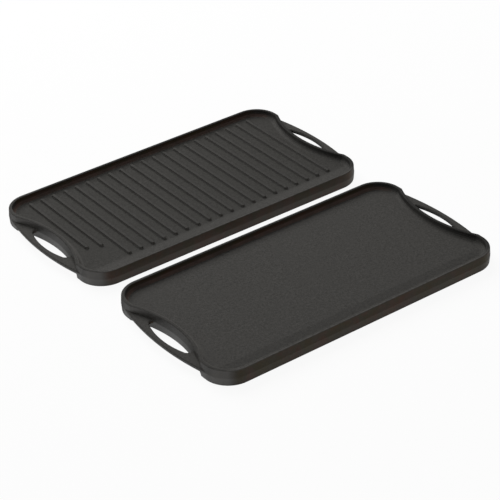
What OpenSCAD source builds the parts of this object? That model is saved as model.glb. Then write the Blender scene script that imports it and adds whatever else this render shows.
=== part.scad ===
// Pair of reversible cast iron griddle plates.
// Each plate is one casting: a rim wall round both faces, a web between them, ribs across one face,
// a flat cooking face with a grease slope on the other, and a loop handle at each scooped end.
// One plate lies flat face up, the other ribbed face up. +Z is up, and z = 0 is the surface they rest on.

/* [Plate] */
// Length of the plate over its corner lobes
plate_length = 490; // [440:1:540]
// Width of the plate
plate_width = 264; // [240:1:290]
// Height of the rim, from crest to crest
plate_height = 24.5; // [21:0.5:28]
// Radius of the four corner lobes
corner_radius = 40; // [36:0.5:44]
// Depth of the scoop in each end, measured from the lobes
scoop_depth = 19.5; // [16:0.5:21]
// Clear distance between the two plates
plate_gap = 38; // [10:1:80]

/* [Rim and web] */
// Thickness of the web between the two faces
web_thickness = 5.2; // [4.5:0.1:6]
// Thickness of the rim wall at its crest
rim_crest = 5.2; // [4.6:0.1:6]
// Lean of the outer wall from the parting line to each crest, degrees
outer_draft = 4; // [1:0.5:6]
// Lean of the inner wall, degrees
inner_draft = 6; // [2:0.5:9]
// Rounding of the outer crest edge
crest_outer_round = 1.6; // [1:0.1:2.4]
// Rounding of the inner crest edge
crest_inner_round = 1.2; // [0.6:0.1:1.6]
// Fillet between the inner wall and the web
foot_fillet = 7; // [4:0.5:7]

/* [Grease slope] */
// Width of the sloped margin along one long side, from the outer edge
slope_width = 32.5; // [26:0.5:34]
// Fall of the margin towards the rim, degrees
slope_angle = 6; // [3:0.5:7]
// Chamfer between the rim and the bank under the slope, on the ribbed face
bank_chamfer = 2.6; // [1:0.2:3]

/* [Ribs] */
// Distance from rib to rib
rib_pitch = 20.2; // [14:0.1:24]
// Width of a rib at its foot
rib_foot = 7.4; // [6.4:0.1:9]
// Width of a rib at its top
rib_top = 5; // [3.6:0.1:6]
// Height of a rib
rib_height = 3; // [2:0.1:3.4]
// Rounding of a rib's top edges
rib_round = 0.8; // [0.4:0.1:1.2]
// Least distance from the outermost ribs to the end fillets
rib_wall_gap = 4; // [2:0.5:8]
// Distance from the grease slope to the rib ends
rib_slope_gap = 2; // [1:0.5:6]
// Distance from the plain long side to the rib ends
rib_far_margin = 17.5; // [15:0.5:24]
// How much the outermost rib is shortened beside the bare corner
first_rib_cut = 50; // [30:1:70]
// How much its neighbour is shortened
second_rib_cut = 42; // [24:1:62]

/* [Handles] */
// How far each handle stands out past the lobes
handle_reach = 10.5; // [10:0.5:16]
// Width of the handle bar at its middle
bar_width = 8; // [7:0.25:9]
// Thickness of the handle bar
bar_thickness = 6; // [5.4:0.2:7]
// Rounding of the bar's outer edges
bar_round = 2.4; // [1.2:0.1:2.6]
// Radius of the hand hole's outer side
hole_radius = 133; // [120:1:150]
// Radius of the hand hole's ends
hole_end_radius = 6.6; // [5.6:0.1:7.4]
// Chamfer of the hand hole's edges
hole_chamfer = 1.4; // [0.6:0.1:2]

/* [Hidden] */
$fn = 96;
iron_black = [0.25, 0.24, 0.23];
// Overlap that joins one part of the casting to the next
weld = 0.5;
// The same where one arc of an outline runs into the next
arc_overlap = 0.1;
// Facets that a rounding of the rim has
rounding_steps = 4;
// How far the hand hole's ends run into the wall
hole_bite = 2;
// How far the grease slope's wall stays clear of the inner wall
slope_wall_gap = 0.6;
// How much sooner its corners turn
slope_end_gap = 2;
// How far a cut runs past what it cuts
past = 20;

half_length = plate_length / 2;
half_width = plate_width / 2;
mid = plate_height / 2;
plate_step = plate_width + plate_gap;

// Plan outline: a rounded rectangle with a hollow arc in each end, which would touch both corner circles
corner_x = half_length - corner_radius;
corner_y = half_width - corner_radius;
scoop_x = half_length - scoop_depth;
scoop_radius = tangent_radius(corner_radius, scoop_x - corner_x, corner_y);
scoop_centre = scoop_x + scoop_radius;

// Rim section, as insets from the outline at the parting line
web_top = mid + web_thickness / 2;
recess_depth = plate_height - web_top;
outer_crest = [mid * tan(outer_draft), plate_height];
inner_crest = outer_crest + [rim_crest, 0];
inner_foot = [inner_wall(web_top), web_top];
wall_up = heading(inner_foot, inner_crest);
// The rim's profiles, each from its low end to its high end
crest_edge = rounding(outer_crest, heading(outer_crest, [0, mid]), [1, 0], crest_outer_round);
lower_edge = [for (i = [rounding_steps : -1 : 0]) [crest_edge[i][0], plate_height - crest_edge[i][1]]];
outer_profile = concat(lower_edge, [[0, mid]], crest_edge);
inner_profile = concat(
    rounding(inner_foot, [1, 0], wall_up, foot_fillet),
    rounding(inner_crest, -wall_up, [-1, 0], crest_inner_round)
);
fillet_toe = inner_profile[0][0];
// An inset inside the rim wall, where parts that grow out of the wall end
rim_core = outer_crest[0] + rim_crest / 2;

// Grease slope: the line where the web turns down, and the foot of the slope's own wall before the tilt
slope_y = -half_width + slope_width;
slope_drop = (slope_width - inner_foot[0]) * sin(slope_angle);
slope_foot = [inner_wall(web_top - slope_drop) + slope_wall_gap, web_top];

// Bank: the way its top falls from the rim, and the corner where that meets the inner wall
bank_fall = [cos(slope_angle), -sin(slope_angle)];
bank_inset = (inner_crest[0] + (recess_depth - slope_width * tan(slope_angle)) * tan(inner_draft))
    / (1 - tan(slope_angle) * tan(inner_draft));
bank_foot = [bank_inset, web_top + (slope_width - bank_inset) * tan(slope_angle)];

// Handle: its outer arc runs just inside the corner lobes where it meets them
handle_lobe = corner_radius - weld;
handle_apex = half_length + handle_reach;
handle_radius = tangent_radius(handle_lobe, handle_apex - corner_x, corner_y);
handle_centre = handle_apex - handle_radius;
handle_half_angle = atan2(corner_y, corner_x - handle_centre);
handle_root = scoop_x - rim_crest - handle_centre;
bar_z = mid - bar_thickness / 2;

// Hand hole: its end circles touch the outer side of the hole and run into the scooped wall
hole_centre = handle_apex - bar_width - hole_radius;
hole_span = scoop_centre - hole_centre;
end_reach = hole_radius - hole_end_radius;
wall_reach = scoop_radius - hole_end_radius + hole_bite;
end_along = (pow(end_reach, 2) - pow(wall_reach, 2) + pow(hole_span, 2)) / (2 * hole_span);
end_x = hole_centre + end_along;
end_y = sqrt(pow(end_reach, 2) - pow(end_along, 2));

// Ribs: as many as fit between the two scooped ends
rib_field = scoop_x - fillet_toe - rib_wall_gap - rib_foot / 2;
rib_steps = floor(2 * rib_field / rib_pitch);
rib_cuts = [first_rib_cut, second_rib_cut];

// Radius of an arc on the X axis that touches a circle of radius r at height y,
// where the arc crosses the axis at a distance x past the circle's centre
function tangent_radius(r, x, y) = abs((pow(r, 2) - pow(x, 2) - pow(y, 2)) / (2 * (x - r)));

// Inset of the inner wall at a height above the web
function inner_wall(z) = inner_crest[0] + (plate_height - z) * tan(inner_draft);

// Unit vector from one point to another
function heading(from, to) = (to - from) / norm(to - from);

// Distance from a corner to where an arc of radius r touches its edges, which run along u and v
function tangent_run(u, v, r) = r / tan(acos(u * v) / 2);

// Centre of that arc
function arc_centre(tip, u, v, r) = tip + heading([0, 0], u + v) * norm([r, tangent_run(u, v, r)]);

// Points of that arc, from the edge along u to the edge along v
function rounding(tip, u, v, r) =
    let (
        centre = arc_centre(tip, u, v, r),
        first = tip + u * tangent_run(u, v, r) - centre,
        last = tip + v * tangent_run(u, v, r) - centre,
        turn = atan2(cross(first, last), first * last)
    )
    [
        for (i = [0 : rounding_steps])
            let (a = turn * i / rounding_steps)
            centre + [first[0] * cos(a) - first[1] * sin(a), first[0] * sin(a) + first[1] * cos(a)]
    ];

// Point on the line from one point through another, a given rise past the second
function run_on(from, to, rise) = to + (to - from) * rise / (to[1] - from[1]);

// A profile whose ends run on a little past the faces they meet
function run_past(profile) =
    let (last = len(profile) - 1)
    [
        for (i = [0 : last])
            i == 0 ? run_on(profile[1], profile[0], -weld)
            : i == last ? run_on(profile[last - 1], profile[last], weld)
            : profile[i]
    ];

// Waste that is taken off a corner to round it
module corner_waste(tip, u, v, r) {
    run = tangent_run(u, v, r);
    centre = arc_centre(tip, u, v, r);
    difference() {
        polygon([centre, tip + u * run, tip, tip + v * run]);
        translate(centre)
            circle(r);
    }
}

// Sweeps a section along the -Y side and round both its corners, whose centres are at x and -x.
// A section is drawn as [inset, height] and reaches inwards as far as the corner centres.
module swept_side(x) {
    translate([0, -half_width, 0])
        rotate([90, 0, 90])
            linear_extrude(2 * x, center = true)
                children();
    for (end = [0, 1])
        mirror([end, 0, 0])
            translate([x, -corner_y, 0])
                rotate([0, 0, -90])
                    rotate_extrude(angle = 90)
                        translate([corner_radius, 0])
                            mirror([1, 0])
                                children();
}

// Sweeps a section round the whole rectangle and fills the middle
module swept_slab(low, high) {
    translate([-corner_x - weld, -corner_y - weld, low])
        cube([2 * (corner_x + weld), 2 * (corner_y + weld), high - low]);
    for (side = [0, 1])
        mirror([0, side, 0])
            swept_side(corner_x)
                children();
    for (end = [0, 1])
        mirror([end, 0, 0])
            translate([half_length, 0, 0])
                rotate([90, 0, 0])
                    linear_extrude(2 * corner_y, center = true)
                        mirror([1, 0])
                            children();
}

// Sweeps the space outside a profile round the hollow arc of each end
module scoops(profile) {
    points = run_past(profile);
    reach = scoop_depth + past;
    low = [-reach, points[0][1]];
    high = [-reach, points[len(points) - 1][1]];
    for (end = [0, 1])
        mirror([end, 0, 0])
            translate([scoop_centre, 0, 0])
                rotate_extrude()
                    translate([scoop_radius, 0])
                        polygon(concat(points, [high, low]));
}

// Outside of the casting: a wall drafted both ways from the parting line, with rounded crest edges
module body() {
    difference() {
        swept_slab(0, plate_height)
            polygon(concat(outer_profile, [[corner_radius, plate_height], [corner_radius, 0]]));
        scoops(outer_profile);
    }
}

// Hollow of one face, as if that face were up: web, foot fillet, inner wall and rounded crest edge
module recess() {
    roof = plate_height + past;
    wall = [for (i = [0 : len(inner_profile) - 2]) inner_profile[i]];
    land = run_past(inner_profile)[len(wall)];
    difference() {
        swept_slab(web_top, roof)
            polygon(concat(wall, [land, [land[0], roof], [corner_radius, roof], [corner_radius, web_top]]));
        scoops(inner_profile);
    }
}

// Cut that lets the margin of the flat face fall towards the rim on the -Y side.
// Tilted, its wall runs beside the inner wall.
module grease_slope() {
    wall = [-sin(inner_draft - slope_angle), cos(inner_draft - slope_angle)];
    top = slope_foot + wall * past;
    foot = rounding(slope_foot, [1, 0], wall, foot_fillet);
    translate([0, slope_y, web_top])
        rotate([slope_angle, 0, 0])
            translate([0, -slope_y, -web_top])
                swept_side(corner_x - slope_end_gap)
                    polygon(concat(foot, [top, [corner_radius, top[1]], [corner_radius, web_top]]));
}

// Bank on the ribbed face that keeps the web its full thickness under the grease slope
module bank_section() {
    top = bank_foot + wall_up * bank_chamfer;
    polygon([
        [slope_width, web_top - weld],
        [slope_width, web_top],
        bank_foot + bank_fall * bank_chamfer,
        top,
        [rim_core + weld, top[1]],
        [rim_core + weld, web_top - weld]
    ]);
}

module bank() {
    intersection() {
        translate([0, -half_width, 0])
            rotate([90, 0, 90])
                linear_extrude(plate_length, center = true)
                    bank_section();
        union() {
            translate([-corner_x, -half_width, 0])
                cube([2 * corner_x, slope_width + weld, plate_height]);
            for (side = [-1, 1])
                translate([side * corner_x, -corner_y, 0])
                    cylinder(h = plate_height, r = corner_radius - rim_core);
        }
    }
}

// Turns a face that was drawn upwards to the underside
module underneath() {
    translate([0, 0, plate_height])
        mirror([0, 0, 1])
            children();
}

// Right half of a rib's section: leaning side and rounded top edge
module half_rib_section() {
    foot = [rib_foot / 2, 0];
    tip = [rib_top / 2, rib_height];
    difference() {
        polygon([[0, -weld], foot - [0, weld], foot, tip, [0, rib_height]]);
        corner_waste(tip, [-1, 0], heading(tip, foot), rib_round);
    }
}

module rib_section() {
    half_rib_section();
    mirror([1, 0])
        half_rib_section();
}

// One rib along Y, with turned ends
module rib(from, to) {
    start = from + rib_foot / 2;
    stop = to - rib_foot / 2;
    translate([0, stop, 0])
        rotate([90, 0, 0])
            linear_extrude(stop - start)
                rib_section();
    translate([0, stop, 0])
        rotate_extrude(angle = 180)
            half_rib_section();
    translate([0, start, 0])
        rotate([0, 0, 180])
            rotate_extrude(angle = 180)
                half_rib_section();
}

// The two ribs at the +X end stop short, beside a bare corner
module ribs() {
    for (i = [0 : rib_steps])
        translate([(rib_steps / 2 - i) * rib_pitch, 0, web_top])
            rib(slope_y + rib_slope_gap + (i < len(rib_cuts) ? rib_cuts[i] : 0), half_width - rib_far_margin);
}

// Section of the bar, from its root to its rounded outer edge
module bar_section() {
    difference() {
        translate([handle_root, bar_z])
            square([handle_radius - handle_root, bar_thickness]);
        corner_waste([handle_radius, bar_z], [-1, 0], [0, 1], bar_round);
        corner_waste([handle_radius, bar_z + bar_thickness], [-1, 0], [0, -1], bar_round);
    }
}

// Section of a cut through the bar with chamfered edges
module chamfered_section(radius) {
    low = bar_z + hole_chamfer;
    high = bar_z + bar_thickness - hole_chamfer;
    flare = hole_chamfer + weld;
    polygon([
        [0, low - flare],
        [radius + flare, low - flare],
        [radius, low],
        [radius, high],
        [radius + flare, high + flare],
        [0, high + flare]
    ]);
}

module hand_hole() {
    centre = [hole_centre, 0];
    ends = [for (side = [1, -1]) [end_x, side * end_y]];
    wall_points = [for (e = ends) e + heading([scoop_centre, 0], e) * (hole_end_radius + rim_crest)];
    bar_points = [for (e = ends) e + heading(centre, e) * (hole_end_radius + past)];
    intersection() {
        translate([hole_centre, 0, 0])
            rotate_extrude()
                chamfered_section(hole_radius);
        linear_extrude(plate_height)
            polygon([bar_points[0], ends[0], wall_points[0], wall_points[1], ends[1], bar_points[1]]);
    }
    for (e = ends)
        translate([e[0], e[1], 0])
            rotate_extrude()
                chamfered_section(hole_end_radius + arc_overlap);
}

// Loop handle at the +X end: a crescent at mid height with a hand hole beside the wall
module handle() {
    difference() {
        translate([handle_centre, 0, 0])
            rotate([0, 0, -handle_half_angle])
                rotate_extrude(angle = 2 * handle_half_angle)
                    bar_section();
        hand_hole();
    }
}

// The whole casting, flat face up, with its ribs underneath
module casting() {
    difference() {
        difference() {
            union() {
                body();
                for (end = [0, 1])
                    mirror([end, 0, 0])
                        handle();
            }
            recess();
        }
        grease_slope();
        underneath()
            recess();
    }
    underneath() {
        ribs();
        bank();
    }
}

module flat_face_up_plate() {
    color(iron_black)
        translate([0, -plate_step / 2, 0])
            casting();
}

// Turned over end for end, so the grease slope stays on the -Y side
module ribbed_face_up_plate() {
    color(iron_black)
        translate([0, plate_step / 2, plate_height])
            rotate([0, 180, 0])
                casting();
}

flat_face_up_plate();
ribbed_face_up_plate();
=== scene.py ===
"""Looks of a pair of reversible cast iron griddle plates, in metres, in the part's own frame."""

import math
from types import SimpleNamespace

import bpy
from mathutils import Matrix, Vector

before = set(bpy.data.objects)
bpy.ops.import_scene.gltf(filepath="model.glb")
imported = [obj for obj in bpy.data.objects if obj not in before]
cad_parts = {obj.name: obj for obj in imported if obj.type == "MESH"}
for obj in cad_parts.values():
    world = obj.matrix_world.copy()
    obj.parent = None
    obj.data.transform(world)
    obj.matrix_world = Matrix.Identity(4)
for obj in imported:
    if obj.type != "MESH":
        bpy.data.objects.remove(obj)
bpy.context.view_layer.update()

# Shape of a plate that its finish follows: outline, hollow ends and heights
HALF_LENGTH = 0.245
HALF_WIDTH = 0.132
CORNER_RADIUS = 0.040
PLATE_MIDDLE = 0.151
SCOOP_CENTRE = 0.41228
SCOOP_RADIUS = 0.18678
PARTING_LINE = 0.01225
CREST_HEIGHT = 0.0245

# Zones of the finish, each from where it is 0 to where it is 1. First those in from the outline
RIM_OUTSIDE = (0.0040, 0.0028)
RIM_EDGE = (0.0034, 0.0022)
FOOT_START = (0.0040, 0.0055)
FOOT_END = (0.0150, 0.0090)
FILLET_START = (0.0060, 0.0075)
FILLET_END = (0.0150, 0.0130)
RIB_FIELD = (0.0120, 0.0140)

# Zones across a plate, along it, and from one plate to the other
NEAR_SIDE = (-0.118, -0.126)
FAR_SIDE = (0.095, 0.113)
PAST_NEAR_STRIP = (-0.108, -0.094)
LEFT_END = (-0.155, -0.195)
RIGHT_END = (0.175, 0.205)
RIBBED_UP = (-0.010, 0.010)

# Zones by height
ABOVE_FOOT = (0.0, 0.004)
BELOW_PARTING = (PARTING_LINE + 0.001, PARTING_LINE - 0.001)
BETWEEN_RIBS = (0.0170, 0.0155)
ON_CREST = (CREST_HEIGHT - 0.0014, CREST_HEIGHT - 0.0002)

# Zones by how level the surface is, from 0 on a wall to 1 on a floor
UPRIGHT = (0.7, 0.25)
ROUNDED = (0.97, 0.75)
SLOPE_START = (0.15, 0.45)
SLOPE_END = (0.98, 0.8)

# Zones by how far it faces back, from -1 on a front wall to 1 on a back wall
LONG_WALL = (0.75, 0.97)
FACING_BACK = (-0.2, 0.2)
TURNED_BACK = (0.0, 0.35)
TURNED_FORWARD = (0.34, -0.06)
NEAR_CORNER = (-0.15, -0.45)
RIB_END = (-0.3, -0.7)

# Grain of the skin: features to the metre, detail, roughness and warp
PEBBLES = (780.0, 2.0, 0.55, 0.0)
LUMPS = (260.0, 3.0, 0.6, 0.0)
CLOUDS = (22.0, 4.0, 0.6, 0.4)
RUNS = (55.0, 3.0, 0.55, 0.6)
STAINS = (34.0, 2.0, 0.5, 0.8)
SAND_SCALE = 620.0

# Relief and gloss: matt iron under a film of oil
RELIEF_STRENGTH = 0.5
RELIEF_DEPTH = 0.0004
IRON_SHINE = 0.02
IRON_ROUGHNESS = 0.56
OIL_ROUGHNESS = 0.4

# Colours of the seasoned skin, and of the light and shade painted on it
IRON_DARK = (0.0380, 0.0367, 0.0344, 1.0)
IRON_PALE = (0.0700, 0.0678, 0.0635, 1.0)
IRON_CLOUD = (0.0555, 0.0537, 0.0503, 1.0)
# Brown of baked oil, also painted as shade colour on walls facing away from the lamp
OLIVE_STAIN_AND_SHADE = (0.055, 0.0435, 0.0235, 1.0)
RED_STAIN_AND_SHADE = (0.073, 0.0410, 0.0265, 1.0)
# Darkens the ribbed face past its near strip
RIB_FACE_DARKENING = (0.80, 0.80, 0.79, 1.0)
# Painted lit band in the fillet on the far side
LIT_FILLET_BROWN = (0.127, 0.087, 0.073, 1.0)
# Painted light on shaded rib flanks and ends, the near crest edge, the foot of the left end wall
# and the left corner walls
PAINTED_LIGHT_IRON = (0.115, 0.110, 0.103, 1.0)
# Darker crest away from the near side; painted shade on the inner wall at the right end
DARK_CREST_AND_SHADE = (0.020, 0.0194, 0.0182, 1.0)

# Studio: floor, air, one soft lamp behind the plates, and the camera
WHITE = (1.0, 1.0, 1.0, 1.0)
MATT_WHITE = (0.85, 0.85, 0.85, 1.0)
FLOOR_SIZE = 14.0
FLOOR_GLOW = 0.93
AIR_LEVEL = 0.18
LAMP_PLACE = (0.3, 3.1, 2.8)
LAMP_SIZE = 3.2
LAMP_POWER = 215.0
CAMERA_PLACE = (-1.324, -1.8562, 1.4292)
CAMERA_TURN = math.radians(-35.705)
CAMERA_TILT = math.radians(32.415)
CAMERA_ROLL = math.radians(-2.152)
CAMERA_LENS = 132.99
SENSOR_WIDTH = 36.0
VIEW_DEPTH = 50.0


class Wire:
    """An output of a material's nodes. Arithmetic on wires adds Math nodes."""

    def __init__(self, tree, socket=None):
        self.tree = tree
        self.socket = socket

    def node(self, kind, settings=None, inputs=None, output=0):
        """Any node: its settings first, then the values or wires of its sockets."""
        made = self.tree.nodes.new(kind)
        for name, value in (settings or {}).items():
            setattr(made, name, value)
        for name, value in (inputs or {}).items():
            if isinstance(value, Wire):
                self.tree.links.new(value.socket, made.inputs[name])
            else:
                made.inputs[name].default_value = value
        return Wire(self.tree, made.outputs[output])

    def math(self, operation, first, second=0.0):
        return self.node("ShaderNodeMath", {"operation": operation}, {0: first, 1: second})

    def __add__(self, other):
        return self.math("ADD", self, other)

    def __sub__(self, other):
        return self.math("SUBTRACT", self, other)

    def __mul__(self, other):
        return self.math("MULTIPLY", self, other)

    def __rsub__(self, other):
        return self.math("SUBTRACT", other, self)

    __radd__ = __add__
    __rmul__ = __mul__

    def ramp(self, low, high):
        """0 up to low, 1 from high on, smooth between them. Low may be the larger."""
        settings = {"interpolation_type": "SMOOTHSTEP"}
        inputs = {"Value": self, "From Min": low, "From Max": high}
        return self.node("ShaderNodeMapRange", settings, inputs)

    def part(self, axis):
        """One part of a vector."""
        return self.node("ShaderNodeSeparateXYZ", inputs={0: self}, output=axis)

    def blend(self, first, second, amount, how="MIX"):
        """A colour between two others, or one dulled by another with MULTIPLY."""
        settings = {"data_type": "RGBA", "blend_type": how}
        inputs = {0: amount, 6: first, 7: second}
        return self.node("ShaderNodeMix", settings, inputs, output=2)

    def seen(self):
        """1 for rays from the camera, from gloss and through glass."""
        camera, gloss, glass = (
            self.node("ShaderNodeLightPath", output=f"Is {kind} Ray")
            for kind in ("Camera", "Glossy", "Transmission")
        )
        return self.math("MAXIMUM", self.math("MAXIMUM", camera, gloss), glass)


def new_material(name):
    """A material with an empty tree and its output node."""
    made = bpy.data.materials.new(name)
    made.use_nodes = True
    made.node_tree.nodes.clear()
    output = made.node_tree.nodes.new("ShaderNodeOutputMaterial")
    return made, Wire(made.node_tree), output


def grain(start, place, scale, detail, rough, warp):
    """Noise of a given number of features to the metre, from 0 to 1."""
    inputs = {
        "Vector": place,
        "Scale": scale,
        "Detail": detail,
        "Roughness": rough,
        "Distortion": warp,
    }
    return start.node("ShaderNodeTexNoise", inputs=inputs)


def across_plate(start, place):
    """Distance across a plate from its middle line, towards +Y."""
    side = place.part("Y")
    return side - start.math("SIGN", side) * PLATE_MIDDLE


def rim_inset(start, place):
    """Distance in from a plate's outline, which is less than nothing out on the handles."""
    along = start.math("ABSOLUTE", place.part("X"))
    across = start.math("ABSOLUTE", across_plate(start, place))
    corner_x = start.math("MAXIMUM", along - (HALF_LENGTH - CORNER_RADIUS), 0.0)
    corner_y = start.math("MAXIMUM", across - (HALF_WIDTH - CORNER_RADIUS), 0.0)
    from_corner = start.math("SQRT", corner_x * corner_x + corner_y * corner_y)
    past_scoop = along - SCOOP_CENTRE
    from_scoop = start.math("SQRT", past_scoop * past_scoop + across * across)
    return start.math("MINIMUM", CORNER_RADIUS - from_corner, from_scoop - SCOOP_RADIUS)


def find_zones(start):
    """Parts of a plate that the colour treats in its own way, for stains and for painted light and
    shade: masks that are 1 in a zone and 0 outside it.
    """
    place = start.node("ShaderNodeTexCoord", output="Object")
    facing = start.node("ShaderNodeTexCoord", output="Normal")
    along = place.part("X")
    height = place.part("Z")
    across = across_plate(start, place)
    inset = rim_inset(start, place)
    flatness = start.math("ABSOLUTE", facing.part("Z"))
    backward = facing.part("Y")
    zone = SimpleNamespace(place=place)

    # By the way that the surface faces
    zone.upright = flatness.ramp(*UPRIGHT)
    zone.sloping = flatness.ramp(*SLOPE_START) * flatness.ramp(*SLOPE_END)
    zone.long_wall = start.math("ABSOLUTE", backward).ramp(*LONG_WALL)
    zone.facing_back = backward.ramp(*FACING_BACK)
    zone.turned_back = backward.ramp(*TURNED_BACK)
    zone.turned_forward = backward.ramp(*TURNED_FORWARD)
    zone.rib_end = backward.ramp(*RIB_END)

    # By place on the plate
    zone.near_side = across.ramp(*NEAR_SIDE)
    zone.far_side = across.ramp(*FAR_SIDE)
    zone.left_end = along.ramp(*LEFT_END)
    zone.right_end = along.ramp(*RIGHT_END)
    zone.ribbed_up = place.part("Y").ramp(*RIBBED_UP)
    zone.below_parting = height.ramp(*BELOW_PARTING)
    zone.above_foot = height.ramp(*ABOVE_FOOT)
    zone.outside = inset.ramp(*RIM_OUTSIDE)
    zone.fillet = inset.ramp(*FILLET_START) * inset.ramp(*FILLET_END)
    zone.rib_field = inset.ramp(*RIB_FIELD)
    zone.crest = height.ramp(*ON_CREST)
    zone.crest_edge = zone.crest * inset.ramp(*RIM_EDGE)

    # The floor at the foot of the left end wall, where painted light lifts its shade
    zone.end_foot = zone.left_end * inset.ramp(*FOOT_START) * inset.ramp(*FOOT_END)
    # The ribbed face past its near strip, most between the ribs, where the colour is darker
    past_strip = zone.ribbed_up * zone.rib_field * across.ramp(*PAST_NEAR_STRIP)
    zone.greasy = past_strip * (0.5 + 0.5 * height.ramp(*BETWEEN_RIBS))

    # By both
    zone.inner_wall = zone.upright * (1.0 - zone.outside) * (1.0 - zone.rib_field)
    near_corner = backward.ramp(*NEAR_CORNER) * (1.0 - zone.long_wall)
    zone.corner_wall = flatness.ramp(*ROUNDED) * zone.outside * near_corner
    return zone


def cast_skin(start, place):
    """Noises of a sand-cast skin: fine pebbles, lumps, and slow clouds, runs and stains."""
    noise = SimpleNamespace()
    inputs = {"Vector": place, "Scale": SAND_SCALE}
    noise.sand = start.node("ShaderNodeTexVoronoi", {"feature": "SMOOTH_F1"}, inputs)
    noise.pebbles = grain(start, place, *PEBBLES)
    noise.lumps = grain(start, place, *LUMPS)
    noise.clouds = grain(start, place, *CLOUDS)
    noise.runs = grain(start, place, *RUNS)
    noise.stains = grain(start, place, *STAINS)
    noise.skin = noise.pebbles * 0.6 + noise.lumps * 0.4
    return noise


def iron_colour(start, zone, noise):
    """Black iron, browned on the long walls partly as painted shade colour, darker on the ribbed
    face, with painted light and shade on ribs, fillet, crest and walls.
    """
    iron = start.blend(IRON_DARK, IRON_PALE, noise.skin.ramp(0.32, 0.68))
    iron = start.blend(iron, IRON_CLOUD, noise.clouds.ramp(0.35, 0.75) * 0.5)

    # Baked-oil brown on the long walls, heaviest on walls that face away from the lamp: partly
    # stain, partly painted shade colour
    oil_brown_and_shade = start.blend(OLIVE_STAIN_AND_SHADE, RED_STAIN_AND_SHADE, noise.stains.ramp(0.38, 0.62))
    browned_and_shaded = zone.long_wall * (1.0 - 0.7 * zone.facing_back)
    browned_and_shaded = browned_and_shaded * (0.6 + 0.4 * noise.runs.ramp(0.3, 0.7))
    iron = start.blend(iron, oil_brown_and_shade, browned_and_shaded)

    # Painted light on the shaded flanks of the ribs, most on their ends, which face away from the
    # lamp
    painted_light_ribs = zone.upright * zone.rib_field * (0.35 + 0.55 * zone.rib_end)
    iron = start.blend(iron, PAINTED_LIGHT_IRON, painted_light_ribs)

    # The ribbed face is darker past its near strip, most between the ribs; a painted lit band runs
    # in the fillet on the far side, where light falls past the rim's shadow
    iron = start.blend(iron, RIB_FACE_DARKENING, zone.greasy * (1.0 - zone.upright), "MULTIPLY")
    lit_fillet_band = zone.fillet * zone.sloping * zone.far_side
    lit_fillet_band = lit_fillet_band * (0.5 + 0.5 * noise.runs.ramp(0.3, 0.65))
    iron = start.blend(iron, LIT_FILLET_BROWN, lit_fillet_band)

    # The crest is darker away from the near side, less so at the left end; painted shade darkens
    # the inner wall at the right end, most where it faces back towards the lamp
    darker_crest = zone.crest * (1.0 - zone.near_side) * (0.8 - 0.6 * zone.left_end)
    iron = start.blend(iron, DARK_CREST_AND_SHADE, darker_crest)
    painted_shade_wall = zone.inner_wall * zone.right_end * (0.2 + 0.6 * zone.turned_back)
    iron = start.blend(iron, DARK_CREST_AND_SHADE, painted_shade_wall)

    # Painted highlight along the near crest edge, painted light on the floor at the foot of the
    # left end wall where its shade falls, and on the near corner walls at the left end
    painted_edge_highlight = zone.crest_edge * zone.near_side * (0.5 + 0.5 * noise.lumps.ramp(0.3, 0.6))
    iron = start.blend(iron, PAINTED_LIGHT_IRON, painted_edge_highlight)
    iron = start.blend(iron, PAINTED_LIGHT_IRON, zone.end_foot * (1.0 - zone.far_side) * 0.42)
    painted_light_corner = zone.corner_wall * zone.left_end * (0.7 + 0.4 * noise.clouds)
    return start.blend(iron, PAINTED_LIGHT_IRON, painted_light_corner)


def oil_film(zone, noise):
    """Oil that nothing scrapes off: most on the ends outside, less on the sides and the ribs."""
    end_film = (0.52 + 0.28 * zone.below_parting) * zone.turned_forward
    end_film = end_film * (1.0 - 0.45 * zone.far_side) * (1.0 - 0.6 * zone.right_end)
    side_film = (0.24 + 0.14 * zone.below_parting) * (1.0 + 0.35 * zone.ribbed_up)
    side_film = side_film * (0.4 + 0.6 * zone.above_foot)
    wall_film = zone.outside * (end_film + zone.long_wall * (side_film - end_film))
    rib_film = zone.rib_field * (0.28 + 0.2 * zone.rib_end)
    return zone.upright * (wall_film + rib_film) * (0.85 + 0.3 * noise.clouds)


def seasoned_iron():
    """Sand-cast iron, baked black with oil."""
    made, start, output = new_material("seasoned_iron")
    zone = find_zones(start)
    noise = cast_skin(start, zone.place)
    relief = noise.sand * -0.5 + noise.pebbles * 0.7 + noise.lumps * 0.9
    bump = {"Strength": RELIEF_STRENGTH, "Distance": RELIEF_DEPTH, "Height": relief}
    surface = start.node(
        "ShaderNodeBsdfPrincipled",
        inputs={
            "Base Color": iron_colour(start, zone, noise),
            "Roughness": IRON_ROUGHNESS + 0.16 * (0.5 - noise.skin) + 0.08 * noise.clouds,
            "Normal": start.node("ShaderNodeBump", inputs=bump),
            "Specular IOR Level": IRON_SHINE,
            "Coat Weight": oil_film(zone, noise),
            "Coat Roughness": OIL_ROUGHNESS,
        },
    )
    made.node_tree.links.new(surface.socket, output.inputs["Surface"])
    return made


def white_floor():
    """Matt white sweep. It reads as white to the camera and keeps a soft shadow."""
    made, start, output = new_material("white_floor")
    matt = start.node("ShaderNodeBsdfDiffuse", inputs={"Color": MATT_WHITE})
    white = start.node("ShaderNodeEmission", inputs={"Color": WHITE, "Strength": 1.0})
    glow = start.seen() * FLOOR_GLOW
    mixed = start.node("ShaderNodeMixShader", inputs={0: glow, 1: matt, 2: white})
    made.node_tree.links.new(mixed.socket, output.inputs["Surface"])
    return made


def add_floor():
    """The sweep under the plates."""
    bpy.ops.object.select_all(action="DESELECT")
    bpy.ops.mesh.primitive_plane_add(size=FLOOR_SIZE)
    floor = bpy.context.object
    floor.name = "studio_floor"
    floor.data.materials.append(white_floor())


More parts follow.
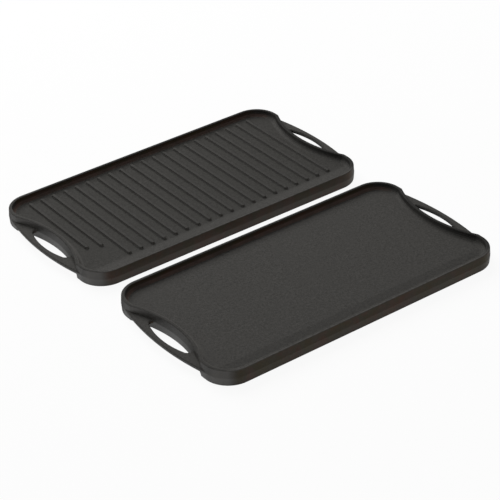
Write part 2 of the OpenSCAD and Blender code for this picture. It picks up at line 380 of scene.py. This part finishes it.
def add_softbox():
    """A square lamp behind the plates that faces them."""
    data = bpy.data.lights.new("back_softbox", "AREA")
    data.shape = "SQUARE"
    data.size = LAMP_SIZE
    data.energy = LAMP_POWER
    lamp = bpy.data.objects.new("back_softbox", data)
    lamp.location = LAMP_PLACE
    lamp.rotation_euler = (-Vector(LAMP_PLACE)).to_track_quat("-Z", "Y").to_euler()
    bpy.context.collection.objects.link(lamp)


def light_studio():
    """Dim even air that reads as white where it is seen, and the lamp."""
    world = bpy.data.worlds.new("studio")
    bpy.context.scene.world = world
    world.use_nodes = True
    nodes = world.node_tree.nodes
    nodes.clear()
    start = Wire(world.node_tree)
    level = AIR_LEVEL + (1.0 - AIR_LEVEL) * start.seen()
    air = start.node("ShaderNodeBackground", inputs={"Color": WHITE, "Strength": level})
    output = nodes.new("ShaderNodeOutputWorld")
    world.node_tree.links.new(air.socket, output.inputs["Surface"])
    add_softbox()


def place_camera():
    """The photograph's viewpoint: seen from the front left, from above, a little tilted."""
    flat_reach = math.cos(CAMERA_TILT)
    back = Vector((
        math.sin(CAMERA_TURN) * flat_reach,
        -math.cos(CAMERA_TURN) * flat_reach,
        math.sin(CAMERA_TILT),
    ))
    level = Vector((math.cos(CAMERA_TURN), math.sin(CAMERA_TURN), 0.0))
    above = back.cross(level)
    right = level * math.cos(CAMERA_ROLL) + above * math.sin(CAMERA_ROLL)
    up = above * math.cos(CAMERA_ROLL) - level * math.sin(CAMERA_ROLL)
    data = bpy.data.cameras.new("camera")
    data.sensor_width = SENSOR_WIDTH
    data.lens = CAMERA_LENS
    data.clip_end = VIEW_DEPTH
    camera = bpy.data.objects.new("camera", data)
    turned = Matrix((right, up, back)).transposed().to_4x4()
    camera.matrix_world = Matrix.Translation(CAMERA_PLACE) @ turned
    bpy.context.collection.objects.link(camera)
    bpy.context.scene.camera = camera


bpy.context.scene.view_settings.view_transform = "Standard"
place_camera()
light_studio()
add_floor()

iron = seasoned_iron()
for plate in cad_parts.values():
    for slot in plate.material_slots:
        slot.material = iron
